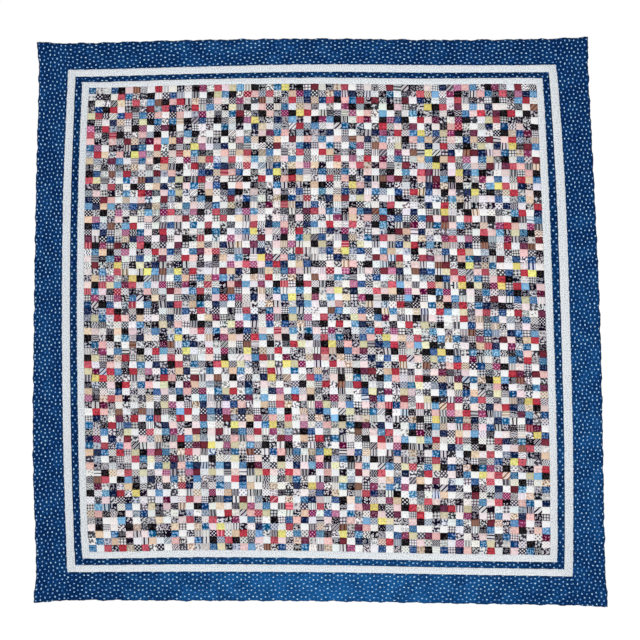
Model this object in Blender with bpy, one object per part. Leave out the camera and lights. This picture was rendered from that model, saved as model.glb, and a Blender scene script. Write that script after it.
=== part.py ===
"""A bed quilt of small square patches inside four plain borders, lying flat.

Millimetres in the tables below, metres in the model.  X runs across the quilt, Y runs up it, +Z is up.
The underside lies on z = 0 and the origin is under the middle of the quilt.

The quilt is uneven, as hand-pieced quilts are: it is wider at the foot, its seams bow outward and its
four corners flare.  Five nested rings of edges describe that.  Every piece lies between two of them.
"""
import math

import bmesh
import bpy

MM = 0.001

# ---- sizes -------------------------------------------------------------------------------------------
LOFT = 4.2             # thickness of the quilted cloth at its fullest
SEAM_GAP = 0.34        # clear space between neighbouring pieces
PUCKER = 0.10          # share of the thickness that the quilting puckers up and down
PUCKER_LENGTHS = (196.0, 143.0, 91.0)   # wavelengths of the broad, middle and fine puckers
PUCKER_WEIGHTS = (0.45, 0.35, 0.20)
PUCKER_SHIFTS = (1.3, 0.4, 2.1, 0.7)    # where the waves start, in radians
PUCKER_SLANTS = (0.5, 0.3)              # how far the middle puckers lean

PANEL_CELLS = (24, 28)  # facets across and up the patchwork
STRIP_CELLS = 24        # facets along a border strip, between the corners of its inner ring

# Corners of the three drawn rings: the quilt's edge, the seam inside the wide blue border, and the edge
# of the patchwork.
RING_CORNERS = {
    #               top left       top right     bottom right   bottom left
    "edge":      ((-1078, 1065), (1021, 1085), (1098, -1089), (-1092, -1074)),
    "blue_seam": ((-959, 958), (898, 978), (962, -971), (-962, -954)),
    "patchwork": ((-879, 890), (824, 903), (876, -889), (-878, -877)),
}

# How far each side of a ring bows outward from the straight line between its corners, at these shares of
# its length.  Left and right run from top to bottom, top and bottom from left to right.
BOW_PLACES = (0.0, 0.05, 0.25, 0.50, 0.75, 0.95, 1.0)
BOWS = {
    #                       5 %  25 %  50 %  75 %  95 %
    ("edge", "left"):        (-8, 0, 5, 5, -10),
    ("edge", "right"):       (-4, 3, 8, 0, -6),
    ("edge", "top"):         (-7, 0, 2, -8, -6),
    ("edge", "bottom"):      (-12, -14, -16, -10, -6),
    ("blue_seam", "left"):   (4, 18, 22, 16, 4),
    ("blue_seam", "right"):  (7, 20, 21, 17, 5),
    ("blue_seam", "top"):    (0, 6, 11, 3, -1),
    ("blue_seam", "bottom"): (-1, -6, -8, -4, -1),
    ("patchwork", "left"):   (6, 17, 21, 16, 7),
    ("patchwork", "right"):  (2, 7, 10, 10, 4),
    ("patchwork", "top"):    (0, 8, 9, 2, 3),
    ("patchwork", "bottom"): (-1, -10, -9, -2, 0),
}

# The two seams between the blue seam and the patchwork, as shares of the way inward on each side.
SEAM_SHARES = {
    "navy_outer": {"left": 0.355, "right": 0.365, "top": 0.380, "bottom": 0.335},
    "navy_inner": {"left": 0.685, "right": 0.685, "top": 0.690, "bottom": 0.665},
}

SIDES = ("top", "bottom", "left", "right")
OUTWARD = {"left": (-1, 0), "right": (1, 0), "top": (0, 1), "bottom": (0, -1)}

# Border name, the ring outside it, the ring inside it and its material.
BORDERS = (
    ("wide_blue", "edge", "blue_seam", "blue_print"),
    ("outer_white", "blue_seam", "navy_outer", "white_print"),
    ("narrow_navy", "navy_outer", "navy_inner", "blue_print"),
    ("inner_white", "navy_inner", "patchwork", "white_print"),
)

# Height of a piece across its width, as shares of its width and of the full thickness.  The first point
# is the outer side.  The outermost border thins to a turned edge, every other side dips to a seam.
EDGE_SECTION = ((0.0, 0.40), (0.09, 0.86), (0.50, 1.00), (1.0, 0.82))
SEAM_SECTION = ((0.0, 0.82), (0.50, 1.00), (1.0, 0.82))

COLOURS = {
    "patch_prints": (0.33, 0.28, 0.31, 1.0),
    "white_print": (0.72, 0.74, 0.77, 1.0),
    "blue_print": (0.014, 0.055, 0.16, 1.0),
}
CLOTH_ROUGHNESS = 0.9


# ---- small maths -------------------------------------------------------------------------------------
def mix(a, b, share):
    return a + (b - a) * share


def mix_points(a, b, share):
    return (mix(a[0], b[0], share), mix(a[1], b[1], share))


def even_places(cells, start=0.0, end=1.0):
    return [mix(start, end, i / cells) for i in range(cells + 1)]


def smooth_table(places, values, at):
    """A smooth curve through the table's points, read at one place."""
    last = len(places) - 1
    i = 0
    while i < last - 1 and at > places[i + 1]:
        i += 1

    def slope(k):
        before = max(k - 1, 0)
        after = min(k + 1, last)
        return (values[after] - values[before]) / (places[after] - places[before])

    span = places[i + 1] - places[i]
    t = (at - places[i]) / span
    rise_a = slope(i) * span
    rise_b = slope(i + 1) * span
    return (
        (2 * t**3 - 3 * t**2 + 1) * values[i]
        + (t**3 - 2 * t**2 + t) * rise_a
        + (3 * t**2 - 2 * t**3) * values[i + 1]
        + (t**3 - t**2) * rise_b
    )


# ---- rings -------------------------------------------------------------------------------------------
class Ring:
    """Four corners, and four sides that bow between them."""

    def __init__(self, corners, bows):
        self.top_left, self.top_right, self.bottom_right, self.bottom_left = corners
        self.bows = bows

    def ends(self, side):
        return {
            "left": (self.top_left, self.bottom_left),
            "right": (self.top_right, self.bottom_right),
            "top": (self.top_left, self.top_right),
            "bottom": (self.bottom_left, self.bottom_right),
        }[side]

    def point(self, side, share):
        start, end = self.ends(side)
        x, y = mix_points(start, end, share)
        bow = smooth_table(BOW_PLACES, (0, *self.bows[side], 0), share)
        return (x + OUTWARD[side][0] * bow, y + OUTWARD[side][1] * bow)

    def share_at_x(self, side, x):
        """Where along the top or bottom side a given X lies."""
        start, end = self.ends(side)
        return (x - start[0]) / (end[0] - start[0])


def drawn_ring(name):
    return Ring(RING_CORNERS[name], {side: BOWS[name, side] for side in SIDES})


def ring_between(outer, inner, shares):
    """The ring a given share of the way from one ring to the next, side by side."""
    def corner(name, x_side, y_side):
        a = getattr(outer, name)
        b = getattr(inner, name)
        return (mix(a[0], b[0], shares[x_side]), mix(a[1], b[1], shares[y_side]))

    corners = (
        corner("top_left", "left", "top"),
        corner("top_right", "right", "top"),
        corner("bottom_right", "right", "bottom"),
        corner("bottom_left", "left", "bottom"),
    )
    bows = {}
    for side in SIDES:
        pairs = zip(outer.bows[side], inner.bows[side])
        bows[side] = tuple(mix(a, b, shares[side]) for a, b in pairs)
    return Ring(corners, bows)


# ---- outlines of the pieces --------------------------------------------------------------------------
def panel_outline(ring):
    """The four sides of the patchwork, each a function of its share of the way along."""
    return {side: (lambda share, side=side: ring.point(side, share)) for side in SIDES}


def butt_seam(outer, inner, side, end):
    """The short seam at a corner: from the outer ring's top or bottom, straight to the inner corner."""
    corner = inner.ends(side)[0 if end == "top" else 1]
    meeting = outer.point(end, outer.share_at_x(end, corner[0]))
    return meeting, corner


def side_strip_outline(outer, inner, side):
    """A left or right strip, which runs the full height of its ring."""
    top_meeting, top_corner = butt_seam(outer, inner, side, "top")
    bottom_meeting, bottom_corner = butt_seam(outer, inner, side, "bottom")
    height = top_meeting[1] - bottom_meeting[1]
    first = (top_meeting[1] - top_corner[1]) / height
    last = (top_meeting[1] - bottom_corner[1]) / height

    def inner_edge(share):
        if share < first:
            return mix_points(top_meeting, top_corner, share / first)
        if share > last:
            return mix_points(bottom_corner, bottom_meeting, (share - last) / (1 - last))
        return inner.point(side, (share - first) / (last - first))

    def end_edge(end):
        corner_share = 0.0 if side == "left" else 1.0
        meeting_share = outer.share_at_x(end, inner_edge(0.0 if end == "top" else 1.0)[0])
        return lambda share: outer.point(end, mix(corner_share, meeting_share, share))

    return {
        "outer": lambda share: outer.point(side, share),
        "inner": inner_edge,
        "start": end_edge("top"),
        "finish": end_edge("bottom"),
        "stations": [0.0, *even_places(STRIP_CELLS, first, last), 1.0],
    }


def cross_strip_outline(outer, inner, side):
    """A top or bottom strip, which fits between the two side strips."""
    left_meeting, left_corner = butt_seam(outer, inner, "left", side)
    right_meeting, right_corner = butt_seam(outer, inner, "right", side)
    first = outer.share_at_x(side, left_meeting[0])
    last = outer.share_at_x(side, right_meeting[0])
    return {
        "outer": lambda share: outer.point(side, mix(first, last, share)),
        "inner": lambda share: inner.point(side, share),
        "start": lambda share: mix_points(left_meeting, left_corner, share),
        "finish": lambda share: mix_points(right_meeting, right_corner, share),
        "stations": even_places(STRIP_CELLS),
    }


def blend_outline(outer, inner, start, finish, along, across):
    """A point inside four edges.  Outer and inner run along, start and finish run across."""
    a, b, c, d = outer(0), outer(1), inner(0), inner(1)
    out, inn, sta, fin = outer(along), inner(along), start(across), finish(across)
    point = []
    for k in (0, 1):
        ruled = mix(out[k], inn[k], across) + mix(sta[k], fin[k], along)
        corners = mix(mix(a[k], b[k], along), mix(c[k], d[k], along), across)
        point.append(ruled - corners)
    return point


# ---- relief ------------------------------------------------------------------------------------------
def puckers(x, y):
    """The gentle unevenness of quilted cloth, from -1 to 1."""
    a, b, c = (2 * math.pi / length for length in PUCKER_LENGTHS)
    broad_x, broad_y, middle_y, fine_x = PUCKER_SHIFTS
    lean_x, lean_y = PUCKER_SLANTS
    waves = (
        math.sin(a * x + broad_x) * math.sin(a * y + broad_y),
        math.sin(b * (x + lean_x * y)) * math.sin(b * (y - lean_y * x) + middle_y),
        math.sin(c * (x - y) + fine_x) * math.sin(c * (x + y)),
    )
    return sum(weight * wave for weight, wave in zip(PUCKER_WEIGHTS, waves))


def section_height(section, across):
    places = [place for place, _ in section]
    shares = [share for _, share in section]
    return smooth_table(places, shares, across)


# ---- solids ------------------------------------------------------------------------------------------
def cloth_solid(name, material, along_places, across_places, surface):
    """One closed slab: a sheet mapped by surface(along, across), extruded down to a flat underside."""
    mesh = bmesh.new()
    rows = []
    for along in along_places:
        row = []
        for across in across_places:
            x, y, z = surface(along, across)
            row.append(mesh.verts.new((x * MM, y * MM, z * MM)))
        rows.append(row)
    for row, next_row in zip(rows, rows[1:]):
        for i in range(len(row) - 1):
            mesh.faces.new((row[i], row[i + 1], next_row[i + 1], next_row[i]))
    lowered = bmesh.ops.extrude_face_region(mesh, geom=mesh.faces[:], use_keep_orig=True)
    for item in lowered["geom"]:
        if isinstance(item, bmesh.types.BMVert):
            item.co.z = 0.0
    bmesh.ops.recalc_face_normals(mesh, faces=mesh.faces[:])
    bmesh.ops.triangulate(mesh, faces=mesh.faces[:])

    data = bpy.data.meshes.new(name)
    mesh.to_mesh(data)
    mesh.free()
    data.materials.append(material)
    piece = bpy.data.objects.new(name, data)
    bpy.context.scene.collection.objects.link(piece)
    return piece


def inset(places, length):
    """The same places, drawn in at both ends by half the seam gap."""
    margin = SEAM_GAP / 2 / length
    return [mix(margin, 1 - margin, place) for place in places]


def distance(a, b):
    return math.hypot(a[0] - b[0], a[1] - b[1])


def patchwork_panel(ring, material):
    edges = panel_outline(ring)
    width = distance(ring.top_left, ring.top_right)
    height = distance(ring.top_left, ring.bottom_left)

    def surface(down, across):
        x, y = blend_outline(
            edges["left"], edges["right"], edges["top"], edges["bottom"], down, across
        )
        return x, y, LOFT * (1 + PUCKER * puckers(x, y))

    columns, rows = PANEL_CELLS
    down_places = inset(even_places(rows), height)
    across_places = inset(even_places(columns), width)
    return cloth_solid("patchwork_panel", material, down_places, across_places, surface)


def border_strip(name, outer, inner, side, section, material):
    if side in ("left", "right"):
        edges = side_strip_outline(outer, inner, side)
    else:
        edges = cross_strip_outline(outer, inner, side)
    length = distance(edges["outer"](0), edges["outer"](1))
    width = distance(edges["outer"](0.5), edges["inner"](0.5))

    def surface(along, across):
        x, y = blend_outline(
            edges["outer"], edges["inner"], edges["start"], edges["finish"], along, across
        )
        return x, y, LOFT * section_height(section, across) * (1 + PUCKER * puckers(x, y))

    along_places = inset(edges["stations"], length)
    across_places = inset([place for place, _ in section], width)
    return cloth_solid(f"{name}_{side}", material, along_places, across_places, surface)


def cloth_material(name):
    material = bpy.data.materials.new(name)
    material.use_nodes = True
    shader = material.node_tree.nodes["Principled BSDF"]
    shader.inputs["Base Color"].default_value = COLOURS[name]
    shader.inputs["Roughness"].default_value = CLOTH_ROUGHNESS
    shader.inputs["Metallic"].default_value = 0.0
    return material


def main():
    for item in list(bpy.data.objects):
        bpy.data.objects.remove(item)

    rings = {name: drawn_ring(name) for name in RING_CORNERS}
    for name, shares in SEAM_SHARES.items():
        rings[name] = ring_between(rings["blue_seam"], rings["patchwork"], shares)
    materials = {name: cloth_material(name) for name in COLOURS}

    patchwork_panel(rings["patchwork"], materials["patch_prints"])
    for border, outer, inner, slot in BORDERS:
        section = EDGE_SECTION if outer == "edge" else SEAM_SECTION
        for side in SIDES:
            border_strip(border, rings[outer], rings[inner], side, section, materials[slot])


main()
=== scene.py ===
"""The looks of a patchwork bed quilt: 4200 small cotton patches inside four plain borders.

The plan of every piece comes from the CAD nodes.  X runs across the quilt, Y up it and +Z out of it.
Lengths are millimetres until a mesh is made, and colours are sRGB, from 0 to 255.
"""
import math

import bpy
import numpy as np
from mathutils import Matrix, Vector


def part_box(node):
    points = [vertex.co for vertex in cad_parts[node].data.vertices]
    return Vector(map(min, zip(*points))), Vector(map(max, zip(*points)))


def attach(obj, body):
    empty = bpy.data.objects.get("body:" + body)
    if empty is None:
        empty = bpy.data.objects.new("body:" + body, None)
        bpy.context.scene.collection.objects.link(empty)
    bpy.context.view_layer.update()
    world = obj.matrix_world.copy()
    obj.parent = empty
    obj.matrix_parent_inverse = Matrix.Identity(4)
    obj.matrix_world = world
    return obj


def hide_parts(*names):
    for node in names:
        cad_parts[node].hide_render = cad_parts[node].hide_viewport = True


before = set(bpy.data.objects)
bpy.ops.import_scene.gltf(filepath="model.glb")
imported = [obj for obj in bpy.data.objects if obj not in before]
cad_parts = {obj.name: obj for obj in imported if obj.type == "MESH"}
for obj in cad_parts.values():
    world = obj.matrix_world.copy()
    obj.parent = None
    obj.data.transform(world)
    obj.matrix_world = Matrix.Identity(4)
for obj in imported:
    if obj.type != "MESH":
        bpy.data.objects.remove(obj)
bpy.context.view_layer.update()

MM = 0.001
SIDES = ("top", "bottom", "left", "right")
BODY = "root"

# ---- relief ----------------------------------------------
LOFT = 4.2              # thickness of the quilted cloth at its fullest
PUCKER = 0.09           # share of the thickness that broad puckers take up
PUCKER_LENGTHS = (196.0, 143.0, 91.0)
RIPPLE = 0.16           # height of the small ripples that run through the cloth
RIPPLE_LENGTHS = (47.0, 34.0, 27.0)
SEAM_DIP = 0.28         # share of the thickness lost in a seam's ditch
SEAM_REACH = 2.6        # how far a seam draws the cloth down on either side
BUTT_DIP = 0.10         # the same at the short seams, where two strips of one cloth meet end to end
SEAM_CLOSE = 0.14       # how far each strip reaches into the gap round its CAD solid
EDGE_ROUND = 1.3        # radius of the outer turned edge
EDGE_REACH = 9.0        # how far in the outer edge takes to reach full thickness
EDGE_WAVE = 4.4         # how far the outer edge wanders in and out
EDGE_LENGTHS = (103.0, 53.0, 37.0)
EDGE_SHIFT = 35.0       # where in the waves the outer edges start
SEAM_WANDER = 0.8       # how far all seams wander, sideways and upward
WANDER_LENGTHS = ((173.0, 121.0, 83.0), (151.0, 109.0, 77.0))
WANDER_SHIFTS = (310.0, 470.0)
SEAM_WOBBLE = 0.9       # how far they wobble over shorter lengths
WOBBLE_LENGTHS = (47.0, 37.0, 29.0)
WOBBLE_SHIFTS = (90.0, 60.0)
WAVE_WEIGHTS = (0.45, 0.35, 0.20)   # shares of the broad, middle and fine waves
WAVE_SHIFTS = (1.3, 0.4, 2.1, 0.7)
WAVE_SLANTS = (0.5, 0.3)            # how far the middle waves lean
TURNED_HEIGHT = (0.16, 0.30)        # height of the outer edge at its foot, and how much its curl adds

# ---- patchwork -------------------------------------------
COLUMNS, ROWS = 60, 70
ROW_GROWTH = (0.045, 0.018)     # how much shallower rows are at the top than at the foot, left and right
COLUMN_GROWTH = 0.02    # columns are narrower at the left
SEAM_SWAY = 4.5         # rows sag on the left half and rise on the right half by this much
COLUMN_SWAY = 3.0       # columns bend from side to side by this much
COLUMN_BENDS = 1.5
COLUMN_LAG = 0.3        # how much of a bend lies between the first column and the last
STITCH_JITTER = (0.9, 0.6)      # unevenness of each seam crossing, across and up
PATCH_CUTS = (0.0, 0.09, 0.30, 0.50, 0.70, 0.91, 1.0)
PILLOW = 1.1            # how far a patch swells above the seams round it
FULLNESS = (0.75, 1.1)  # share of that in the flattest and the fullest patch
SEAM_RIM = 3.6          # width of the rim inside each seam where shade is painted, making the colour darker and deeper
GROUND_BELOW = 0.6      # the padded ground lies this far below the seams
GROUND_STEP = 24.0

# ---- border cloth ----------------------------------------
HEM = 9.0               # width of blue cloth turned under at the outer edge
SEAM_STEPS = (0.0, 1.0, 2.5, 5.0, 9.0)
EDGE_STEPS = (0.0, 0.4, 0.9, 1.6, 2.6, 4.0, 6.0, HEM, 13.0, 18.0)
ACROSS_STEP, ALONG_STEP = 9.0, 4.5
REPEAT = 46.0           # the blue print's repeat, in its material
PRINT_PITCH = {         # the repeat as it lies on each side, along the strip and across it
    "left": (43.7, 44.0),
    "right": (44.0, 44.0),
    "top": (47.9, 37.4),
    "bottom": (46.0, 40.5),
}
# How far the blue has faded along each side, from the top down or from the left to the right.
BLUE_FADE = {
    "left": (0.04, 0.04, 0.09, 0.06, 0.04),
    "right": (0.00, 0.02, 0.16, 0.22, 0.12),
    "top": (0.05, 0.12, 0.12, 0.05, 0.00),
    "bottom": (0.02, 0.34, 0.50, 0.36, 0.10),
}
WHITE_SIDE_SHADE = {"left": 0.93, "right": 0.93, "top": 0.98, "bottom": 0.99}   # painted shade: the white strips at the sides are darker, as their cloth catches the light differently
SEAM_SHADE = 0.50       # painted shade: how much darker the blue is at its seams, where the white strips stand above it
EDGE_SHADE = 0.62       # painted shade: how much darker it is at the quilt's edge, where the cloth turns under
SHADE_REACH = 3.2       # how far in these painted shades reach
SHADE_FADE = 12.0       # how gradually a seam's painted shade ends at a corner
NARROW_LEVEL = 0.88     # the narrow blue border is darker than the wide one

SEED = 1936


# ---- small maths -----------------------------------------
def mix(a, b, share):
    return a + (b - a) * share


def linear(colour):
    """An sRGB colour, 0 to 255, as the linear numbers that materials use."""
    share = np.asarray(colour, float) / 255
    return np.where(share <= 0.04045, share / 12.92, ((share + 0.055) / 1.055) ** 2.4)


def rgba(colour):
    return (*linear(colour), 1.0)


def waves(x, y, lengths):
    """Soft unevenness over the plan, from -1 to 1."""
    turn = 2 * math.pi
    a, b, c = lengths
    (s, t, u, v), (lean_x, lean_y) = WAVE_SHIFTS, WAVE_SLANTS
    broad = np.sin(turn * x / a + s) * np.sin(turn * y / a + t)
    middle = np.sin(turn * (x + lean_x * y) / b) * np.sin(turn * (y - lean_y * x) / b + u)
    fine = np.sin(turn * (x - y) / c + v) * np.sin(turn * (x + y) / c)
    return WAVE_WEIGHTS[0] * broad + WAVE_WEIGHTS[1] * middle + WAVE_WEIGHTS[2] * fine


def loft(plan):
    """Full height of the cloth over points of the plan."""
    x, y = plan[..., 0], plan[..., 1]
    return LOFT * (1 + PUCKER * waves(x, y, PUCKER_LENGTHS)) + RIPPLE * waves(x, y, RIPPLE_LENGTHS)


def wandered(plan):
    """The plan with its straight seams made a little uneven, alike for every piece."""
    x, y = plan[..., 0], plan[..., 1]
    sideways = SEAM_WANDER * waves(x + WANDER_SHIFTS[0], y, WANDER_LENGTHS[0])
    upward = SEAM_WANDER * waves(x, y + WANDER_SHIFTS[1], WANDER_LENGTHS[1])
    sideways += SEAM_WOBBLE * waves(x + WOBBLE_SHIFTS[0], y, WOBBLE_LENGTHS)
    upward += SEAM_WOBBLE * waves(x, y + WOBBLE_SHIFTS[1], WOBBLE_LENGTHS)
    return plan + np.stack([sideways, upward], -1)


# ---- plans of the CAD nodes ------------------------------
def rim_of(node):
    """The outline of a node's flat underside, clockwise from above."""
    mesh = node.data
    points = np.array([vertex.co[:] for vertex in mesh.vertices])
    places, of_vertex = np.unique(np.round(points, 6), axis=0, return_inverse=True)
    of_vertex = of_vertex.ravel()
    edges = set()
    for face in mesh.polygons:
        if face.normal.z < -0.9:
            ring = [int(of_vertex[corner]) for corner in face.vertices]
            edges.update(zip(ring, ring[1:] + ring[:1]))
    after = {a: b for a, b in edges if (b, a) not in edges}
    loop = [min(after)]
    while after[loop[-1]] != loop[0]:
        loop.append(after[loop[-1]])
    return places[loop, :2] / MM


class Plan:
    """The plan of one flat CAD node: four corners and the four sides between them."""

    def __init__(self, name):
        self.rim = rim_of(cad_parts[name])
        corners = [int(np.argmax(self.rim @ way)) for way in ((-1, 1), (1, 1), (1, -1), (-1, -1))]
        top_left, top_right, bottom_right, bottom_left = corners
        self.corners = self.rim[corners]
        self.sides = {
            "top": self.stretch(top_left, top_right),
            "right": self.stretch(top_right, bottom_right),
            "bottom": self.stretch(bottom_right, bottom_left)[::-1],
            "left": self.stretch(bottom_left, top_left)[::-1],
        }
        self.lengths = {side: self.marks(side)[-1] for side in SIDES}
        self.width = (self.lengths["top"] + self.lengths["bottom"]) / 2
        self.height = (self.lengths["left"] + self.lengths["right"]) / 2

    def stretch(self, start, end):
        count = (end - start) % len(self.rim) + 1
        return np.roll(self.rim, -start, axis=0)[:count]

    def marks(self, side):
        steps = np.linalg.norm(np.diff(self.sides[side], axis=0), axis=1)
        return np.concatenate([[0.0], np.cumsum(steps)])

    def along(self, side, share):
        marks, points = self.marks(side), self.sides[side]
        reach = share * marks[-1]
        return np.stack([np.interp(reach, marks, points[:, k]) for k in (0, 1)], -1)

    def inside(self, right, down):
        """Points between the four sides, from shares of the way to the right and down."""
        top_left, top_right, bottom_right, bottom_left = self.corners
        r, d = right[..., None], down[..., None]
        across = mix(self.along("top", right), self.along("bottom", right), d)
        upright = mix(self.along("left", down), self.along("right", down), r)
        corners = mix(mix(top_left, top_right, r), mix(bottom_left, bottom_right, r), d)
        return across + upright - corners

    def area(self):
        x, y = self.rim[:, 0], self.rim[:, 1]
        return abs(float(np.sum(x * np.roll(y, -1) - y * np.roll(x, -1)))) / 2


# ---- meshes ----------------------------------------------
def shown(name, data):
    thing = bpy.data.objects.new(name, data)
    bpy.context.scene.collection.objects.link(thing)
    return thing


def grid_faces(rows, columns, first=0):
    """Corner numbers of a grid's squares, facing up.  Rows run down the plan, columns to the right."""
    at = first + np.arange(rows * columns).reshape(rows, columns)
    return np.stack([at[1:, :-1], at[1:, 1:], at[:-1, 1:], at[:-1, :-1]], -1).reshape(-1, 4)


def make_piece(name, points, faces, materials, maps, material_index=None):
    """A shown mesh.  maps holds a place for each corner of each face, for each named UV map."""
    mesh = bpy.data.meshes.new(name)
    mesh.from_pydata((points * MM).tolist(), [], faces.tolist())
    for title, places in maps.items():
        layer = mesh.uv_layers.new(name=title)
        layer.data.foreach_set("uv", places.astype(np.float32).ravel())
    for material in materials:
        mesh.materials.append(material)
    if material_index is not None:
        mesh.polygons.foreach_set("material_index", material_index.astype(np.int32))
    mesh.shade_smooth()
    piece = shown(name, mesh)
    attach(piece, BODY)
    return piece


def give(piece, name, kind, domain, values):
    """A named attribute on the piece's mesh."""
    item = piece.data.attributes.new(name, kind, domain)
    field = "color" if kind == "FLOAT_COLOR" else "value"
    item.data.foreach_set(field, values.astype(np.float32).ravel())


# ---- cloth materials -------------------------------------
COTTON = {"Roughness": 0.92, "Sheen Weight": 0.02, "Sheen Roughness": 0.6, "Specular IOR Level": 0.03}
PETALS = 5
THREAD_PITCH = 0.62
THREAD_SHADE = 0.05             # painted shade of the threads' over and under: how much lighter and darker the weave makes the cloth
THREAD_BUMP = (0.02, 0.6)       # height of the threads, and how strongly it shows
SLUB_SIZE, SLUB_STRETCH = 1.3, 0.2      # thick places in the yarn
SLUB_SHADE = (0.96, 1.04)
WRINKLE_SIZE = 17.0


def set_inputs(node, values):
    for name, value in values.items():
        node.inputs[name].default_value = value


class Cloth:
    """One cloth's material.  Its methods add nodes and give back their output sockets."""

    def __init__(self, name):
        self.material = bpy.data.materials.new(name)
        self.material.use_nodes = True
        self.tree = self.material.node_tree
        self.shader = self.tree.nodes["Principled BSDF"]
        set_inputs(self.shader, COTTON)

    def feed(self, socket, value):
        if isinstance(value, bpy.types.NodeSocket):
            self.tree.links.new(value, socket)
        else:
            socket.default_value = value

    def add(self, kind, inputs=None, **settings):
        node = self.tree.nodes.new("ShaderNode" + kind)
        for name, value in settings.items():
            setattr(node, name, value)
        for name, value in (inputs or {}).items():
            self.feed(node.inputs[name], value)
        return node

    def math(self, operation, *values):
        node = self.add("Math", operation=operation)
        for socket, value in zip(node.inputs, values):
            self.feed(socket, value)
        return node.outputs[0]

    def times(self, a, b):
        return self.math("MULTIPLY", a, b)

    def plus(self, a, b):
        return self.math("ADD", a, b)

    def minus(self, a, b):
        return self.math("SUBTRACT", a, b)

    def over(self, a, b):
        return self.math("DIVIDE", a, b)

    def near(self, value, pitch):
        """Distance from the nearest of the lines that lie a pitch apart."""
        return self.math("PINGPONG", value, pitch / 2)

    def away(self, value, place):
        """Distance from one place."""
        return self.math("ABSOLUTE", self.minus(value, place))

    def length(self, x, y):
        return self.math("SQRT", self.plus(self.times(x, x), self.times(y, y)))

    def either(self, a, b):
        return self.math("MAXIMUM", a, b)

    def inside(self, distance, half, soft=0.18):
        """1 where the distance is under a half width, 0 beyond it, with a soft edge."""
        return self.between(distance, half + soft, half - soft)

    def between(self, value, low, high, first=0.0, last=1.0):
        """Goes smoothly from the first number to the last as the value goes from low to high."""
        inputs = {"From Min": low, "From Max": high, "To Min": first, "To Max": last, "Value": value}
        return self.add("MapRange", inputs, interpolation_type="SMOOTHSTEP").outputs["Result"]

    def blend(self, share, a, b, how="MIX"):
        node = self.add("Mix", data_type="RGBA", blend_type=how)
        for index, value in ((0, share), (6, a), (7, b)):
            self.feed(node.inputs[index], value)
        return node.outputs[2]

    def pick(self, share, a, b):
        """Number a where the share is 0, number b where it is 1."""
        node = self.add("Mix", data_type="FLOAT")
        for index, value in ((0, share), (2, a), (3, b)):
            self.feed(node.inputs[index], value)
        return node.outputs[0]

    def scaled(self, colour, value):
        """The colour, made lighter or darker by a number."""
        level = self.add("CombineXYZ", {"X": value, "Y": value, "Z": value}).outputs[0]
        return self.blend(1.0, colour, level, "MULTIPLY")

    def attribute(self, name, output="Fac"):
        return self.add("Attribute", attribute_name=name).outputs[output]

    def cloth_place(self):
        """Where a point lies on the flat cloth, in millimetres."""
        place = self.add("SeparateXYZ", {"Vector": self.add("UVMap", uv_map="cloth").outputs[0]})
        return place.outputs["X"], place.outputs["Y"]

    def on_quilt(self, scale):
        """The place on the quilt, shared by all its pieces, in lengths of so many millimetres."""
        place = self.add("TexCoord").outputs["Object"]
        inputs = {"Vector": place, "Scale": (1 / (scale * MM),) * 3}
        return self.add("Mapping", inputs).outputs[0]

    def noise(self, vector, detail=2.0):
        inputs = {"Vector": vector, "Scale": 1.0, "Detail": detail}
        return self.add("TexNoise", inputs).outputs["Fac"]

    def cloth_noise(self, x, y, size, detail=1.0):
        """Noise in the flat cloth, with features of so many millimetres."""
        inputs = {"X": self.over(x, size), "Y": self.over(y, size)}
        return self.noise(self.add("CombineXYZ", inputs).outputs[0], detail)

    def scattered(self, x, y, pitch, spread):
        """Offsets from the nearest of many scattered points, and a random number for each point."""
        u, v = self.over(x, pitch), self.over(y, pitch)
        vector = self.add("CombineXYZ", {"X": u, "Y": v}).outputs[0]
        inputs = {"Vector": vector, "Scale": 1.0, "Randomness": spread}
        cells = self.add("TexVoronoi", inputs, voronoi_dimensions="2D")
        point = self.add("SeparateXYZ", {"Vector": cells.outputs["Position"]})
        luck = self.add("SeparateXYZ", {"Vector": cells.outputs["Color"]}).outputs["X"]
        across = self.times(self.minus(u, point.outputs["X"]), pitch)
        upward = self.times(self.minus(v, point.outputs["Y"]), pitch)
        return across, upward, luck

    def turned(self, x, y, luck):
        """The offsets, turned by a random share of a full turn."""
        angle = self.times(luck, 2 * math.pi)
        sine, cosine = self.math("SINE", angle), self.math("COSINE", angle)
        along = self.plus(self.times(x, cosine), self.times(y, sine))
        aside = self.minus(self.times(y, cosine), self.times(x, sine))
        return along, aside

    def oval(self, x, y, half_length, half_width):
        reach = self.length(self.over(x, half_length), self.over(y, half_width))
        return self.inside(reach, 1.0, 0.25)

    def petals(self, x, y, reach, depth):
        """A round flower whose edge swings in and out."""
        angle = self.times(self.math("ARCTAN2", y, x), float(PETALS))
        edge = self.math("MULTIPLY_ADD", self.math("COSINE", angle), depth, reach)
        return self.inside(self.minus(self.length(x, y), edge), 0.0)

    def threads(self, x, y):
        """The over and under of a plain weave, from -1 to 1."""
        turn = 2 * math.pi / THREAD_PITCH
        return self.times(self.math("SINE", self.times(x, turn)), self.math("SINE", self.times(y, turn)))

    def finish(self, colour, x, y, wrinkle=0.35):
        """The base colour with the weave's painted fine shade and the yarn's slubs, and a bump for wrinkles
        and threads.
        """
        weave = self.threads(x, y)
        slub = self.cloth_noise(x, self.times(y, SLUB_STRETCH), SLUB_SIZE)
        # Painted shade of the weave, on top of the slubs' own tone
        shade = self.math("MULTIPLY_ADD", weave, THREAD_SHADE, self.between(slub, 0.25, 0.75, *SLUB_SHADE))
        self.feed(self.shader.inputs["Base Color"], self.scaled(colour, shade))
        folds = self.noise(self.on_quilt(WRINKLE_SIZE), 2.0)
        creased = self.add("Bump", {"Height": folds, "Distance": wrinkle * MM, "Strength": 1.0})
        height, strength = THREAD_BUMP
        inputs = {"Height": weave, "Distance": height * MM, "Strength": strength}
        woven = self.add("Bump", {**inputs, "Normal": creased.outputs[0]})
        self.feed(self.shader.inputs["Normal"], woven.outputs[0])
        return self.material


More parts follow.
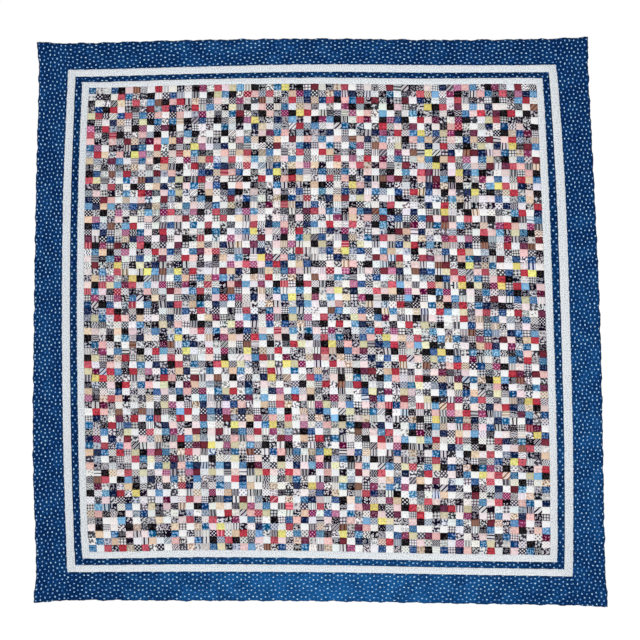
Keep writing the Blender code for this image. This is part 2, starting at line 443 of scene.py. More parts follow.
# ---- printed figures of the patches ----------------------
# Each takes the place on the cloth and gives the figure's share of the colour.
def bar_stripe(c, x, y):
    off = c.near(x, 9.4)
    return c.either(c.inside(off, 2.0), c.inside(c.away(off, 4.7), 0.3))


def pin_stripe(c, x, y):
    return c.inside(c.near(x, 4.0), 0.8)


def rail_stripe(c, x, y):
    return c.inside(c.away(c.near(x, 8.2), 1.6), 0.75)


def dots(c, x, y):
    pitch = 8.8
    across, upward = c.near(x, pitch), c.near(y, pitch)
    between = c.length(c.minus(pitch / 2, across), c.minus(pitch / 2, upward))
    return c.inside(c.math("MINIMUM", c.length(across, upward), between), 1.75)


def sprig(c, x, y):
    across, upward, luck = c.scattered(x, y, 9.0, 0.6)
    along, aside = c.turned(across, upward, luck)
    flower = c.petals(along, aside, 1.5, 0.45)
    leaf = c.oval(c.minus(along, 3.2), aside, 1.5, 0.7)
    return c.either(flower, leaf)


def blossom(c, x, y):
    across, upward, luck = c.scattered(x, y, 10.5, 0.5)
    along, aside = c.turned(across, upward, luck)
    eye = c.inside(c.length(along, aside), 0.85)
    flower = c.minus(c.petals(along, aside, 2.7, 0.8), eye)
    leaves = c.oval(c.minus(c.away(along, 0.0), 4.5), aside, 1.3, 0.8)
    return c.either(flower, leaves)


def rings(c, x, y):
    across, upward, _ = c.scattered(x, y, 8.4, 0.45)
    reach = c.length(across, upward)
    return c.either(c.inside(c.away(reach, 2.8), 0.65), c.inside(reach, 0.7))


def check(c, x, y):
    bars = c.plus(c.inside(c.near(x, 7.4), 1.85), c.inside(c.near(y, 7.4), 1.85))
    return c.times(bars, 0.5)


def lattice(c, x, y):
    """Crossing lines with a block of ground between them."""
    return c.either(c.inside(c.near(x, 7.0), 1.05), c.inside(c.near(y, 7.0), 1.05))


def squiggle(c, x, y):
    swing = c.math("SINE", c.times(y, 2 * math.pi / 8.5))
    drift = c.cloth_noise(x, y, 12.0)
    wandering = c.plus(c.math("MULTIPLY_ADD", swing, 1.5, x), c.times(drift, 8.0))
    return c.inside(c.near(wandering, 6.2), 1.3)


def leaves(c, x, y):
    across, upward, luck = c.scattered(x, y, 6.4, 0.7)
    along, aside = c.turned(across, upward, luck)
    blade = c.oval(along, aside, 3.0, 1.5)
    rib = c.inside(c.away(aside, 0.0), 0.16, 0.1)
    return c.minus(blade, c.times(c.math("MINIMUM", blade, rib), 0.8))


def speckle(c, x, y):
    """Close irregular blots."""
    return c.between(c.cloth_noise(x, y, 5.2), 0.46, 0.54)


def fleck(c, x, y):
    across, upward, luck = c.scattered(x, y, 4.4, 0.8)
    size = c.math("MULTIPLY_ADD", luck, 0.8, 0.4)
    return c.inside(c.minus(c.length(across, upward), size), 0.0)


def mottle(c, x, y):
    return c.between(c.cloth_noise(x, y, 5.5, 4.0), 0.3, 0.7)


# The share of the cloth that each print's figure covers.
PRINTS = {
    bar_stripe: 0.49, pin_stripe: 0.40, rail_stripe: 0.36, dots: 0.25, sprig: 0.13, blossom: 0.24,
    rings: 0.34, check: 0.51, lattice: 0.51, squiggle: 0.42, leaves: 0.29, speckle: 0.50, fleck: 0.10,
    mottle: 0.50,
}
EVEN = (speckle, speckle, speckle, lattice, lattice, squiggle, bar_stripe, bar_stripe, check, leaves)
OPEN = (rail_stripe, bar_stripe, dots, dots, speckle, speckle, squiggle, leaves, rings, blossom)
FINE = (fleck, fleck, pin_stripe, rail_stripe, dots, sprig, mottle)
FLORAL = (sprig, blossom, leaves, rings, fleck)
SOFT = (mottle, mottle, fleck, sprig)

# Dyes of the patches: about how many in a hundred, the colour seen from afar, how strong the figure is,
# how it differs from the ground, the hue that like neighbours would share, and the prints it comes in.
DYES = {
    "bleached white": (9.0, (236, 237, 241), 0.55, "dark", "white", FINE),
    "cream white": (6.0, (229, 226, 224), 0.70, "dark", "white", FINE),
    "blush": (4.5, (240, 217, 218), 0.35, "tone", "pink", SOFT),
    "salmon": (3.0, (233, 189, 186), 0.55, "tone", "pink", SOFT),
    "peach": (2.0, (222, 196, 172), 0.50, "tone", "tan", SOFT),
    "drab": (3.0, (198, 181, 166), 0.60, "dark", "tan", OPEN),
    "khaki": (2.0, (212, 206, 174), 0.45, "tone", "tan", SOFT),
    "chrome yellow": (1.4, (226, 212, 130), 0.60, "tone", "yellow", SOFT),
    "pale shirting": (8.0, (192, 190, 192), 0.90, "dark", "grey", OPEN),
    "blue shirting": (3.0, (158, 166, 180), 0.90, "dark", "grey", OPEN),
    "shirting": (11.0, (164, 162, 166), 0.95, "dark", "grey", EVEN),
    "dark shirting": (11.0, (136, 134, 140), 0.95, "light", "slate", OPEN),
    "slate": (5.0, (108, 108, 116), 0.90, "light", "slate", FLORAL),
    "mourning print": (3.5, (80, 77, 84), 0.95, "light", "black", FLORAL),
    "black": (5.0, (31, 28, 32), 0.75, "light", "black", FLORAL),
    "indigo black": (3.0, (46, 56, 88), 0.65, "light", "black", FLORAL),
    "brown stripe": (1.0, (130, 94, 82), 0.60, "dark", "tan", (bar_stripe, rail_stripe)),
    "sky": (3.0, (116, 160, 194), 0.85, "light", "blue", FLORAL),
    "indigo": (4.5, (88, 130, 168), 0.85, "light", "blue", FLORAL),
    "navy": (2.5, (68, 96, 140), 0.75, "light", "blue", FLORAL),
    "turkey red": (2.8, (174, 58, 72), 1.10, "tone", "red", SOFT),
    "rose red": (2.4, (186, 86, 100), 1.00, "tone", "red", SOFT),
    "red stripe": (1.0, (188, 100, 112), 0.60, "light", "red", (bar_stripe, rail_stripe, dots)),
    "oxblood": (1.5, (114, 46, 58), 1.00, "tone", "red", SOFT),
    "claret": (1.8, (112, 58, 82), 0.60, "light", "plum", SOFT),
    "plum": (1.8, (150, 82, 114), 0.60, "light", "plum", (dots, fleck, sprig)),
    "mauve": (1.2, (180, 120, 150), 0.50, "light", "plum", (dots, fleck, check)),
}
DARKEST, LIGHTEST = 0.0015, 0.93         # what a dye may reach, in linear light


def dyes_of(seen, coverage, strength, figure):
    """Ground and figure colours that mix to the colour seen from afar, in linear light."""
    if figure == "tone":
        ground = seen * (1 + coverage * strength)
        return ground, seen * (1 - (1 - coverage) * strength)
    if figure == "light":
        tint = (1 + seen / seen.max()) / 2
        room = min(((seen - DARKEST) / tint).min() / coverage, (LIGHTEST - seen.max()) / (1 - coverage))
        step = -min(strength, room) * tint
    else:
        room = min((LIGHTEST - seen.max()) / coverage, (seen.min() - DARKEST) / (1 - coverage))
        step = min(strength, room)
    return seen + coverage * step, seen - (1 - coverage) * step


# ---- layout of the patches -------------------------------
HAND = 14               # patches held at a time, to choose the next from
LIKE_HUE = 1.0          # how badly like hues go side by side
LIKE_SHADE = 0.34       # how badly like shades go side by side
BESIDE, NEARBY = 2.0, 0.4       # what a patch counts for side by side, and one further off or cornerwise
ALIKE = 0.25            # shades closer than this are alike
MIDDLE_LIGHT = 0.6      # how much lighter the middle of each row is kept
TOP_DARK = 0.62         # how much more of the dark dyes is used in the upper rows
TOP_END = 1.4           # the lower this is, the more the last rows are like the first
CHANCE = 1.2            # how much is left to luck


def shade_of(colour):
    return float(np.dot(colour, (0.30, 0.59, 0.11))) / 255


def laid_out(rng):
    """A dye for every patch, dealt by hand so that like ones seldom meet."""
    dyes = list(DYES.values())
    total = sum(dye[0] for dye in dyes)
    counts = [int(round(dye[0] / total * ROWS * COLUMNS)) for dye in dyes]
    deck = np.repeat(np.arange(len(dyes)), counts)
    deck = np.resize(deck, ROWS * COLUMNS)
    rng.shuffle(deck)
    hues = [dye[4] for dye in dyes]
    shades = np.array([shade_of(dye[1]) for dye in dyes])
    down = np.linspace(1, 0, deck.size)                  # the end of the deck is dealt first, at the top
    lean = TOP_DARK * (shades[deck] - shades[deck].mean())
    deck = deck[np.argsort(-(down + lean * down * (1 - down) * (TOP_END - down)))].tolist()
    laid = np.full((ROWS, COLUMNS), -1)
    hand = [deck.pop() for _ in range(HAND)]
    for row in range(ROWS):
        for column in range(COLUMNS):
            near = [
                (laid[row + up, column + over], BESIDE if abs(up) + abs(over) == 1 else NEARBY)
                for up, over in ((-1, 0), (0, -1), (-2, 0), (0, -2), (-1, -1), (-1, 1))
                if row + up >= 0 and 0 <= column + over < COLUMNS
            ]
            middle = math.sin(math.pi * (column + 0.5) / COLUMNS)
            luck = rng.random(len(hand))

            def clash(k):
                card = hand[k]
                score = CHANCE * luck[k] + MIDDLE_LIGHT * (0.6 - middle) * shades[card]
                for other, weight in near:
                    if hues[other] == hues[card]:
                        score += LIKE_HUE * weight * (0.25 if hues[card] in ("white", "grey") else 1.0)
                    if weight == BESIDE:
                        score += LIKE_SHADE * max(0.0, ALIKE - abs(shades[other] - shades[card])) / ALIKE
                return score

            chosen = min(range(len(hand)), key=clash)
            laid[row, column] = hand.pop(chosen)
            if deck:
                hand.append(deck.pop())
    return laid


# ---- the patchwork ---------------------------------------
def seam_lattice(plan, rng):
    """Where the seams of the patchwork cross, row by row."""
    column, row = np.meshgrid(np.linspace(0, 1, COLUMNS + 1), np.linspace(0, 1, ROWS + 1))
    growth = mix(*ROW_GROWTH, column)
    down = row * (1 + growth * (row - 1))
    right = column * (1 + COLUMN_GROWTH * (column - 1))
    points = plan.inside(right, down)
    turn = 2 * math.pi
    held = np.sin(math.pi * row) ** 0.5
    points[..., 1] -= SEAM_SWAY * np.sin(turn * column) * held
    loose = np.sin(math.pi * column) ** 0.5
    points[..., 0] += COLUMN_SWAY * np.sin(turn * (COLUMN_BENDS * row + COLUMN_LAG * column)) * loose
    jitter = rng.normal(0.0, 1.0, points.shape).clip(-2, 2) * STITCH_JITTER
    jitter[[0, -1], :, 1] = 0.0
    jitter[:, [0, -1], 0] = 0.0
    return points + jitter


def patch_grids(lattice):
    """Points of every patch's own small grid, (rows, columns, cuts down, cuts right, 2)."""
    cuts = np.array(PATCH_CUTS)
    right, down = cuts[None, :, None], cuts[:, None, None]
    top_left, top_right = lattice[:-1, :-1, None, None], lattice[:-1, 1:, None, None]
    low_left, low_right = lattice[1:, :-1, None, None], lattice[1:, 1:, None, None]
    return mix(mix(top_left, top_right, right), mix(low_left, low_right, right), down)


def dome(share):
    """Height of a patch's swell, from one seam to the next."""
    return 1 - (2 * share - 1) ** 4


def patch_pieces(plan, clothes, rng):
    """One piece for each kind of print, with all the patches that are cut from it."""
    lattice = seam_lattice(plan, rng)
    grids = wandered(patch_grids(lattice))
    cuts = np.array(PATCH_CUTS)
    swell = dome(cuts)[:, None] * dome(cuts)[None, :]
    fullness = rng.uniform(*FULLNESS, (ROWS, COLUMNS, 1, 1))
    heights = loft(grids) - PILLOW + PILLOW * swell * fullness
    points = np.concatenate([grids, heights[..., None]], -1)

    laid = laid_out(rng)
    size = len(PATCH_CUTS)
    width, height = plan.width / COLUMNS, plan.height / ROWS
    local = np.stack(np.meshgrid(cuts * width, -cuts * height), -1).reshape(-1, 2)
    # How near each point lies to its patch's seams, for the painted seam shade
    rim = np.minimum(np.minimum(cuts, 1 - cuts)[:, None] * height, np.minimum(cuts, 1 - cuts) * width)
    seam = (1 - rim / SEAM_RIM).clip(0, 1).ravel()
    quads = grid_faces(size, size)

    dyes = list(DYES.values())
    chosen = {figure: [] for figure in PRINTS}
    for row in range(ROWS):
        for column in range(COLUMNS):
            prints = dyes[laid[row, column]][5]
            chosen[prints[rng.integers(len(prints))]].append((row, column))

    pieces = []
    for figure, places in chosen.items():
        count = len(places)
        rows, columns = np.array(places).T
        spots = points[rows, columns].reshape(-1, 3)
        faces = (quads[None] + size * size * np.arange(count)[:, None, None]).reshape(-1, 4)
        corners = quads.ravel()
        cloth = np.stack([cut_from_cloth(local, figure, rng)[corners] for _ in places])
        maps = {"cloth": cloth.reshape(-1, 2), "OFBake": in_squares(local[corners], width, height, count)}
        piece = make_piece(f"patches_{figure.__name__}", spots, faces, [clothes[figure]], maps)
        ground, print_dye = patch_dyes(laid[rows, columns], figure, rng)
        for name, dye in (("ground_dye", ground), ("figure_dye", print_dye)):
            give(piece, name, "FLOAT_COLOR", "FACE", np.repeat(dye, len(quads), axis=0))
        give(piece, "seam", "FLOAT", "POINT", np.tile(seam, count))
        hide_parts("patchwork_panel")
        pieces.append(piece)
    return pieces


STRIPED = (bar_stripe, pin_stripe, rail_stripe)
LENGTHWISE, CROSSWISE = 0.76, 0.10      # shares of striped patches whose stripes run up or across
OTHERS_UPRIGHT = 0.6    # share of all other patches that aren't cut sideways
CUT_LEAN = 0.03         # how askew a patch is cut, in radians
PRINT_SCALE = (0.56, 0.90)      # the smaller, the larger the print looks
CLOTH_RANGE = 300.0     # how far from the middle of its cloth a patch may be cut
MAP_SHARE = 0.88        # share of its square of the bake map that a patch fills


def cut_from_cloth(local, figure, rng):
    """Where a patch's points lay on the cloth that it was cut from."""
    luck = rng.random()
    lean = rng.normal(0.0, CUT_LEAN)
    if figure in STRIPED:
        quarter = 0.0 if luck < LENGTHWISE else 0.5 if luck < LENGTHWISE + CROSSWISE else 0.25
    else:
        quarter = 0.0 if luck < OTHERS_UPRIGHT else 0.5
    turn = math.pi * quarter + lean
    stretch = rng.uniform(*PRINT_SCALE)
    cosine, sine = math.cos(turn), math.sin(turn)
    turned = local @ np.array([[cosine, sine], [-sine, cosine]])
    return turned * stretch + rng.uniform(-CLOTH_RANGE, CLOTH_RANGE, 2)


def in_squares(corners, width, height, count):
    """A square of the bake map for each patch."""
    across = math.ceil(math.sqrt(count))
    down = math.ceil(count / across)
    share = corners * (1 / width, -1 / height)
    inner = (1 - MAP_SHARE) / 2 + MAP_SHARE * share
    column, row = np.arange(count) % across, np.arange(count) // across
    places = (inner[None] + np.stack([column, row], -1)[:, None]) / (across, down)
    return places.reshape(-1, 2)


LEVEL_SPREAD, CAST_SPREAD = 0.13, 0.025     # how much patches of one dye differ in brightness and hue
SEEN_RANGE = (0.006, 0.88)      # the darkest and lightest that a patch looks from afar, in linear light
STRENGTH_RANGE = (0.8, 1.15)    # how the strength of the figures varies


def patch_dyes(kinds, figure, rng):
    """Ground and figure colours for a run of patches, each a little different."""
    ground, print_dye = [], []
    dyes = list(DYES.values())
    for kind in kinds:
        _, seen, strength, manner, _, _ = dyes[kind]
        level = math.exp(rng.normal(0.0, LEVEL_SPREAD))
        cast = np.exp(rng.normal(0.0, CAST_SPREAD, 3))
        seen = (linear(seen) * level * cast).clip(*SEEN_RANGE)
        strength = strength * rng.uniform(*STRENGTH_RANGE)
        a, b = dyes_of(seen, PRINTS[figure], strength, manner)
        ground.append((*a.clip(DARKEST, LIGHTEST), 1.0))
        print_dye.append((*b.clip(DARKEST, LIGHTEST), 1.0))
    return np.array(ground), np.array(print_dye)


LIGHT_LEVEL = 1.12      # how much brighter than its dye a flat cloth shows under these lights
WEAR_SIZE, WORN = 38.0, 0.90    # worn places in the prints, and how much of a figure is left there
SEAM_SHADE_POWER = 1.35      # power put on the colour in the rim along a seam, as painted seam shade


def patch_cloth(figure):
    """The material of all patches with one kind of print."""
    c = Cloth(f"{figure.__name__}_cotton")
    x, y = c.cloth_place()
    share = figure(c, x, y)
    wear = c.between(c.noise(c.on_quilt(WEAR_SIZE), 2.0), 0.3, 0.7, WORN, 1.0)
    share = c.times(share, wear)
    printed = c.blend(share, c.attribute("ground_dye", "Color"), c.attribute("figure_dye", "Color"))
    # Painted shade along the seams: the colour darkens and deepens towards each seam
    rim_shade_power = c.between(c.attribute("seam"), 0.0, 1.0, 1.0, SEAM_SHADE_POWER)
    deep = c.add("Gamma", {"Color": printed, "Gamma": rim_shade_power}).outputs[0]
    return c.finish(c.scaled(deep, 1 / LIGHT_LEVEL), x, y)


# ---- the slabs: four borders and the padded ground -------
def steps(length, spacing, start, end):
    """Distances along a piece: close together at both ends, even between them."""
    far = length - np.array(end[::-1])
    inner = np.linspace(start[-1], far[0], max(2, int(round((far[0] - start[-1]) / spacing)) + 1))
    return np.concatenate([start[:-1], inner, far[1:]])


def turned_edge(distance):
    """Height share of the cloth near an outer edge that is turned under."""
    curl = np.sqrt(1 - (1 - (distance / EDGE_ROUND).clip(0, 1)) ** 2)
    foot, rise = TURNED_HEIGHT
    return foot + rise * curl + (1 - foot - rise) * (1 - np.exp(-distance / EDGE_REACH))


def seam_edge(distance, dip):
    return 1 - dip * np.exp(-distance / SEAM_REACH)


WALL_CLOTH = 1.5        # how much of the cloth's place an upright wall takes up
MAP_MARGIN = (6.0, 2.0)         # room round a strip in the bake map, along and across


class Slab:
    """A closed sheet over a CAD node's plan, flat underneath."""

    def __init__(self, node, outer=(), spacing=(ACROSS_STEP, ALONG_STEP)):
        self.plan = Plan(node)
        self.upright = self.plan.height > self.plan.width
        self.outer = outer
        self.long_sides = ("left", "right") if self.upright else ("top", "bottom")
        ends = {side: EDGE_STEPS if side in outer else SEAM_STEPS for side in SIDES}
        across, along = spacing
        wide, deep = (across, along) if self.upright else (along, across)
        right = steps(self.plan.width, wide, ends["left"], ends["right"])
        down = steps(self.plan.height, deep, ends["top"], ends["bottom"])
        self.right, self.down = np.meshgrid(right, down)
        self.gaps = {
            "left": self.right, "right": self.plan.width - self.right,
            "top": self.down, "bottom": self.plan.height - self.down,
        }

    def ground(self):
        """The plan of the grid, with its outer edges made wavy and its seams drawn close."""
        shares = self.right / self.plan.width, self.down / self.plan.height
        plan = wandered(self.plan.inside(*shares))
        for side in SIDES:
            axis = 0 if side in ("left", "right") else 1
            outward = -1 if side in ("left", "bottom") else 1
            along = plan[..., 1 - axis]
            if side in self.outer:
                reach = EDGE_WAVE * waves(along, along * 0 + EDGE_SHIFT, EDGE_LENGTHS)
            else:
                reach = SEAM_CLOSE
            plan[..., axis] += outward * reach * np.exp(-self.gaps[side] / EDGE_REACH)
        return plan

    def points(self, lowered):
        """The upper points, with the dips at the seams and edges, and the flat lower ones."""
        plan = self.ground()
        share = np.ones(self.right.shape)
        for side in SIDES:
            dip = SEAM_DIP if side in self.long_sides else BUTT_DIP
            gap = self.gaps[side]
            share *= turned_edge(gap) if side in self.outer else seam_edge(gap, dip)
        top = np.concatenate([plan, (loft(plan) * share - lowered)[..., None]], -1)
        under = np.concatenate([plan, np.zeros((*share.shape, 1))], -1)
        return top, under

    def piece(self, name, material, backing, side=None, lowered=0.0):
        """The shown sheet: the material on top and on the hem, the backing inside the hem below."""
        top, under = self.points(lowered)
        rows, columns = self.right.shape
        upper, lower = grid_faces(rows, columns), grid_faces(rows, columns)[:, ::-1]
        sheet = np.stack([self.right, self.down], -1).reshape(-1, 2)
        rim, outward = rim_walk(rows, columns)
        following = np.roll(rim, -1)
        walls = np.stack([rim, following, following + rows * columns, rim + rows * columns], -1)
        fall = outward * WALL_CLOTH
        wall_sheet = np.stack([sheet[rim], sheet[following], sheet[following] + fall, sheet[rim] + fall], 1)
        faces = np.concatenate([upper, lower + rows * columns, walls])
        corners = np.concatenate([sheet[upper], sheet[lower], wall_sheet])
        below = slice(len(upper), 2 * len(upper))
        hidden = np.zeros(len(faces), bool)
        hidden[below] = True
        maps = {"cloth": cloth_lay(corners, self, side), "OFBake": self.in_rows(corners, hidden)}
        index = np.zeros(len(faces))
        index[below] = self.hem_gap()[lower].mean(1) > HEM
        points = np.concatenate([top.reshape(-1, 3), under.reshape(-1, 3)])
        return make_piece(name, points, faces, [material, backing], maps, index)

    def hem_gap(self):
        """Distance from the nearest outer edge."""
        far = np.full(self.right.shape, np.inf)
        return np.minimum.reduce([far, *(self.gaps[side] for side in self.outer)]).ravel()

    def in_rows(self, corners, hidden):
        """The bake map: the strip cut into lengths, laid in rows, upper and lower side by turns."""
        long, short = sorted((self.plan.height, self.plan.width), reverse=True)
        along = corners[..., 1 if self.upright else 0]
        across = corners[..., 0 if self.upright else 1]
        parts = max(1, round(math.sqrt(long / (2 * short))))
        part = (along.mean(1) / long * parts).astype(int).clip(0, parts - 1)
        row = (2 * part + hidden)[:, None]
        reach = long / parts
        room_along, room_across = MAP_MARGIN
        u = (along - part[:, None] * reach + room_along) / (reach + 2 * room_along)
        v = (row + (across + room_across) / (short + 2 * room_across)) / (2 * parts)
        return np.stack([u, v], -1).reshape(-1, 2)

    def declare(self, piece, node, slot, **others):
        """Hides the CAD node that the piece stands for, and works out the area of its plan, which is not
        kept.
        """
        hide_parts(node)
        self.plan.area() * MM * MM


def rim_walk(rows, columns):
    """The border points of a grid, anticlockwise from above, and which way is out at each."""
    at = np.arange(rows * columns).reshape(rows, columns)
    sides = (at[:-1, 0], (-1, 0)), (at[-1, :-1], (0, 1)), (at[:0:-1, -1], (1, 0)), (at[0, :0:-1], (0, -1))
    rim = np.concatenate([points for points, _ in sides])
    outward = np.concatenate([np.tile(way, (len(points), 1)) for points, way in sides])
    return rim, outward


PRINT_START, PRINT_SHIFT = 11.0, 7.0    # where the print starts on the first side, and on each next one


def cloth_lay(corners, slab, side):
    """Places along and across a strip, where a printed side's are stretched to its print's pitch."""
    down, right = corners[..., 1], corners[..., 0]
    places = np.stack((down, right) if slab.upright else (right, down), -1)
    if side:
        start = PRINT_START + PRINT_SHIFT * SIDES.index(side)
        places = (places + start) * REPEAT / PRINT_PITCH[side]
    return places.reshape(-1, 2)


# ---- border cloths ---------------------------------------
CLUSTER = ((0.0, 0.0), (0.0, 0.42), (0.33, 0.21))    # a quarter of a cluster of seven, in repeats
BLUE_GROUND, BLUE_LIGHT = (1, 38, 86), (26, 98, 162)
BLUE_MOTIF, BLUE_DIM_MOTIF = (184, 226, 255), (86, 144, 220)
BUD_STRAY, STRAY_SIZES = 5.0, (11.0, 13.0)      # how far the buds stray from their even places
TURN_SIZE, LIT_SIZE = 17.0, 14.0
BUD_LENGTHEN = 1.25             # a bud is longer than it is wide
BUD_REACH, BUD_DEPTH = 2.6, 0.7
HALO_REACH, HALO_SHADE = (6.0, 3.0), 0.62       # the ground is darker round each bud
EYE_RADIUS, EYE_SHADE = 0.5, 0.2
PATCHY_SIZE, PATCHY_FADE = 60.0, (-0.12, 0.16)      # how the fading varies over the quilt
MOTTLED_SIZE, MOTTLED_FADE = 6.0, (-0.12, 0.30)     # and from one bud to the next
WHITE_GROUND, WHITE_FLECK = (237, 242, 246), (92, 98, 114)
FLECK_PITCH, FLECK_SPREAD = 5.6, 0.7
FLECK_SIZE = (1.75, 0.9)        # half its length and half its width
FAINTEST_FLECK = 0.6
MUSLIN, MUSLIN_SLUB = (214, 206, 188), (190, 180, 160)
MUSLIN_STRETCH = 0.15
WHITE_WRINKLE, MUSLIN_WRINKLE = 0.8, 0.5


def blue_print():
    """Dark blue cotton with clusters of seven small pale buds."""
    c = Cloth("blue_print_cotton")
    x, y = c.cloth_place()
    warp_x = c.math("MULTIPLY_ADD", c.cloth_noise(x, y, STRAY_SIZES[0]), BUD_STRAY, x)
    warp_y = c.math("MULTIPLY_ADD", c.cloth_noise(y, x, STRAY_SIZES[1]), BUD_STRAY, y)
    across, upward = c.near(warp_x, REPEAT), c.near(warp_y, 2 * REPEAT)
    buds = []
    for turned in (False, True):
        u = c.minus(REPEAT / 2, across) if turned else across
        v = c.minus(REPEAT, upward) if turned else upward
        for place_u, place_v in CLUSTER:
            off_u = c.minus(u, place_u * REPEAT)
            off_v = c.minus(v, place_v * REPEAT)
            buds.append((c.length(off_u, off_v), off_u, off_v))
    reach, off_u, off_v = buds[0]
    for other, other_u, other_v in buds[1:]:
        nearer = c.math("LESS_THAN", other, reach)
        off_u, off_v = c.pick(nearer, off_u, other_u), c.pick(nearer, off_v, other_v)
        reach = c.math("MINIMUM", reach, other)
    along, aside = c.turned(off_u, off_v, c.cloth_noise(x, y, TURN_SIZE))
    flower = c.petals(c.over(along, BUD_LENGTHEN), aside, BUD_REACH, BUD_DEPTH)
    halo = c.between(reach, *HALO_REACH, 1.0, HALO_SHADE)
    eye = c.times(c.inside(reach, EYE_RADIUS, 0.2), EYE_SHADE)
    share = c.minus(flower, eye)
    lit = c.between(c.cloth_noise(x, y, LIT_SIZE), 0.35, 0.62)
    motif = c.blend(lit, rgba(BLUE_DIM_MOTIF), rgba(BLUE_MOTIF))
    patchy = c.between(c.noise(c.on_quilt(PATCHY_SIZE), 3.0), 0.3, 0.7, *PATCHY_FADE)
    mottled = c.between(c.cloth_noise(x, y, MOTTLED_SIZE, 2.0), 0.3, 0.7, *MOTTLED_FADE)
    fade = c.plus(c.plus(c.attribute("fade"), patchy), mottled)
    ground = c.blend(c.between(fade, 0.0, 1.0), rgba(BLUE_GROUND), rgba(BLUE_LIGHT))
    printed = c.blend(share, c.scaled(ground, halo), motif)
    # The shade attribute holds painted shade along the seams and at the quilt's edge
    shaded = c.scaled(printed, c.over(c.attribute("shade"), LIGHT_LEVEL))
    return c.finish(shaded, x, y)


def white_print():
    """White cotton with a fine pale grey fleck."""
    c = Cloth("white_print_cotton")
    x, y = c.cloth_place()
    across, upward, luck = c.scattered(x, y, FLECK_PITCH, FLECK_SPREAD)
    along, aside = c.turned(across, upward, luck)
    fleck_share = c.oval(along, aside, *FLECK_SIZE)
    share = c.times(fleck_share, c.between(luck, 0.1, 0.9, FAINTEST_FLECK, 1.0))
    printed = c.blend(share, rgba(WHITE_GROUND), rgba(WHITE_FLECK))
    # The shade attribute holds painted shade that makes the side strips darker
    shaded = c.scaled(printed, c.over(c.attribute("shade"), LIGHT_LEVEL))
    return c.finish(shaded, x, y, WHITE_WRINKLE)


def muslin():
    """Plain undyed cotton, for the underside."""
    c = Cloth("muslin")
    x, y = c.cloth_place()
    slub = c.cloth_noise(c.times(x, MUSLIN_STRETCH), y, 0.8, 3.0)
    colour = c.blend(c.between(slub, 0.4, 0.7), rgba(MUSLIN), rgba(MUSLIN_SLUB))
    return c.finish(colour, x, y, MUSLIN_WRINKLE)


ACROSS_FROM = {"left": "right", "right": "left", "top": "bottom", "bottom": "top"}


def beside_next_border(slab, border):
    """Where the painted seam shade falls: 1 where a strip's inner seam joins the next border, 0 where it
    meets the end of its own border.
    """
    if not slab.upright:
        return 1.0
    y = slab.ground()[..., 1] * MM
    top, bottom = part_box(f"{border}_top")[0][1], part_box(f"{border}_bottom")[1][1]
    fade = SHADE_FADE * MM
    return ((top - y) / fade).clip(0, 1) * ((y - bottom) / fade).clip(0, 1)


def give_shade(piece, slab, border, side):
    """How bright a strip is at each point, and how far its blue has faded.  The brightness is painted
    shade, except for the narrow border's darker navy, which is its own cloth.
    """
    if BORDERS[border] == "white_print":
        # Painted shade: each side's white strip gets its own brightness
        level = np.full(slab.right.shape, WHITE_SIDE_SHADE[side])
    else:
        # Painted shade along the blue's seams and at the quilt's edge
        inner = np.exp(-slab.gaps[ACROSS_FROM[side]] / SHADE_REACH)
        level = NARROW_LEVEL if border == "narrow_navy" else 1.0
        level = level * (1 - SEAM_SHADE * inner * beside_next_border(slab, border))
        if side not in slab.outer:
            level = level * (1 - SEAM_SHADE * np.exp(-slab.gaps[side] / SHADE_REACH))
        for edge in slab.outer:
            level = level * (1 - EDGE_SHADE * np.exp(-slab.gaps[edge] / SHADE_REACH))
        share = slab.down / slab.plan.height if slab.upright else slab.right / slab.plan.width
        fade = np.interp(share, np.linspace(0, 1, len(BLUE_FADE[side])), BLUE_FADE[side])
        give(piece, "fade", "FLOAT", "POINT", np.tile(fade.ravel(), 2))
    give(piece, "shade", "FLOAT", "POINT", np.tile(level.ravel(), 2))


BORDERS = {
    "wide_blue": "blue_print",
    "outer_white": "white_print",
    "narrow_navy": "blue_print",
    "inner_white": "white_print",
}


def outer_sides(border, side):
    """Which of a strip's sides are the quilt's own edge."""
    if border != "wide_blue":
        return ()
    return (side, "top", "bottom") if side in ("left", "right") else (side,)


def border_pieces(cloths, backing):
    for border, slot in BORDERS.items():
        for side in SIDES:
            node = f"{border}_{side}"
            slab = Slab(node, outer_sides(border, side))
            printed_side = side if slot == "blue_print" else None
            piece = slab.piece(f"{node}_cloth", cloths[slot], backing, printed_side)
            give_shade(piece, slab, border, side)
            slab.declare(piece, node, slot)


def patchwork(backing):
    rng = np.random.default_rng(SEED)
    slab = Slab("patchwork_panel", spacing=(GROUND_STEP, GROUND_STEP))
    ground = slab.piece("padded_ground", backing, backing, lowered=PILLOW + GROUND_BELOW)
    clothes = {figure: patch_cloth(figure) for figure in PRINTS}
    patches = patch_pieces(slab.plan, clothes, rng)
    slab.declare(ground, "patchwork_panel", "patch_prints", with_pieces=patches)


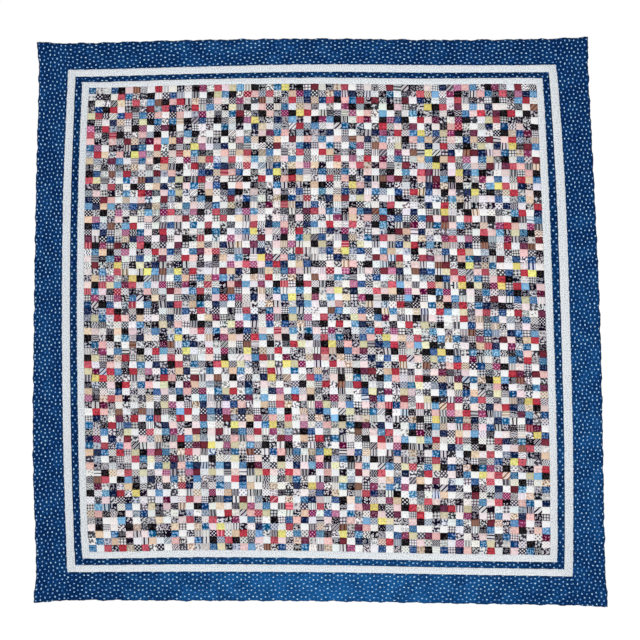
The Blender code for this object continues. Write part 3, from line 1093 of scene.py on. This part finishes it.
# ---- studio, in metres -----------------------------------
VIEW_WIDTH = 2.438          # how much floor the picture shows across
LENS, SENSOR = 100.0, 36.0
VIEW_CENTRE = (0.0, 0.0057)
FLOOR_SIZE = 400.0
FLOOR_LEVEL = -0.0002
PAPER = {"Base Color": (0.97, 0.97, 0.97, 1.0), "Roughness": 1.0, "Specular IOR Level": 0.0}
AMBIENT = 0.48              # strength of the light from all round
BACKDROP = 0.97             # brightness of the far wall, as the camera sees it
KEY_STRENGTH, KEY_SPREAD = 2.27, 14.0       # a soft sun; angles are in degrees
KEY_TILT = (38.0, -24.0, 0.0)
FILL_POWER, FILL_SIZE = 5.0, 0.8            # a panel over the quilt, a little to its right
FILL_PLACE = (0.25, -0.12, 1.6)


def lay_floor():
    mesh = bpy.data.meshes.new("floor")
    half = FLOOR_SIZE / 2
    corners = ((-half, -half), (half, -half), (half, half), (-half, half))
    mesh.from_pydata([(x, y, FLOOR_LEVEL) for x, y in corners], [], [(0, 1, 2, 3)])
    floor = shown("floor", mesh)
    paper = bpy.data.materials.new("studio_paper")
    paper.use_nodes = True
    set_inputs(paper.node_tree.nodes["Principled BSDF"], PAPER)
    mesh.materials.append(paper)


def hang_backdrop():
    """A white world, brighter to the eye than as a light."""
    world = bpy.data.worlds.new("studio")
    world.use_nodes = True
    nodes, links = world.node_tree.nodes, world.node_tree.links
    background = nodes["Background"]
    set_inputs(background, {"Color": (1.0, 1.0, 1.0, 1.0)})
    seen = nodes.new("ShaderNodeLightPath").outputs["Is Camera Ray"]
    strength = nodes.new("ShaderNodeMapRange")
    set_inputs(strength, {"To Min": AMBIENT, "To Max": BACKDROP})
    links.new(seen, strength.inputs["Value"])
    links.new(strength.outputs["Result"], background.inputs["Strength"])
    bpy.context.scene.world = world


def place_lights():
    lamp = bpy.data.lights.new("key", "SUN")
    lamp.energy = KEY_STRENGTH
    lamp.angle = math.radians(KEY_SPREAD)
    shown("key", lamp).rotation_euler = [math.radians(tilt) for tilt in KEY_TILT]

    panel = bpy.data.lights.new("fill", "AREA")
    panel.energy = FILL_POWER
    panel.size = FILL_SIZE
    fill = shown("fill", panel)
    fill.location = FILL_PLACE
    fill.visible_camera = False


def place_camera():
    lens = bpy.data.cameras.new("camera")
    lens.lens = LENS
    lens.sensor_width = SENSOR
    camera = shown("camera", lens)
    camera.location = (*VIEW_CENTRE, VIEW_WIDTH * LENS / SENSOR)
    bpy.context.scene.camera = camera


bpy.context.scene.view_settings.view_transform = "Standard"
lay_floor()
hang_backdrop()
place_lights()
place_camera()

back = muslin()
border_pieces({"blue_print": blue_print(), "white_print": white_print()}, back)
patchwork(back)
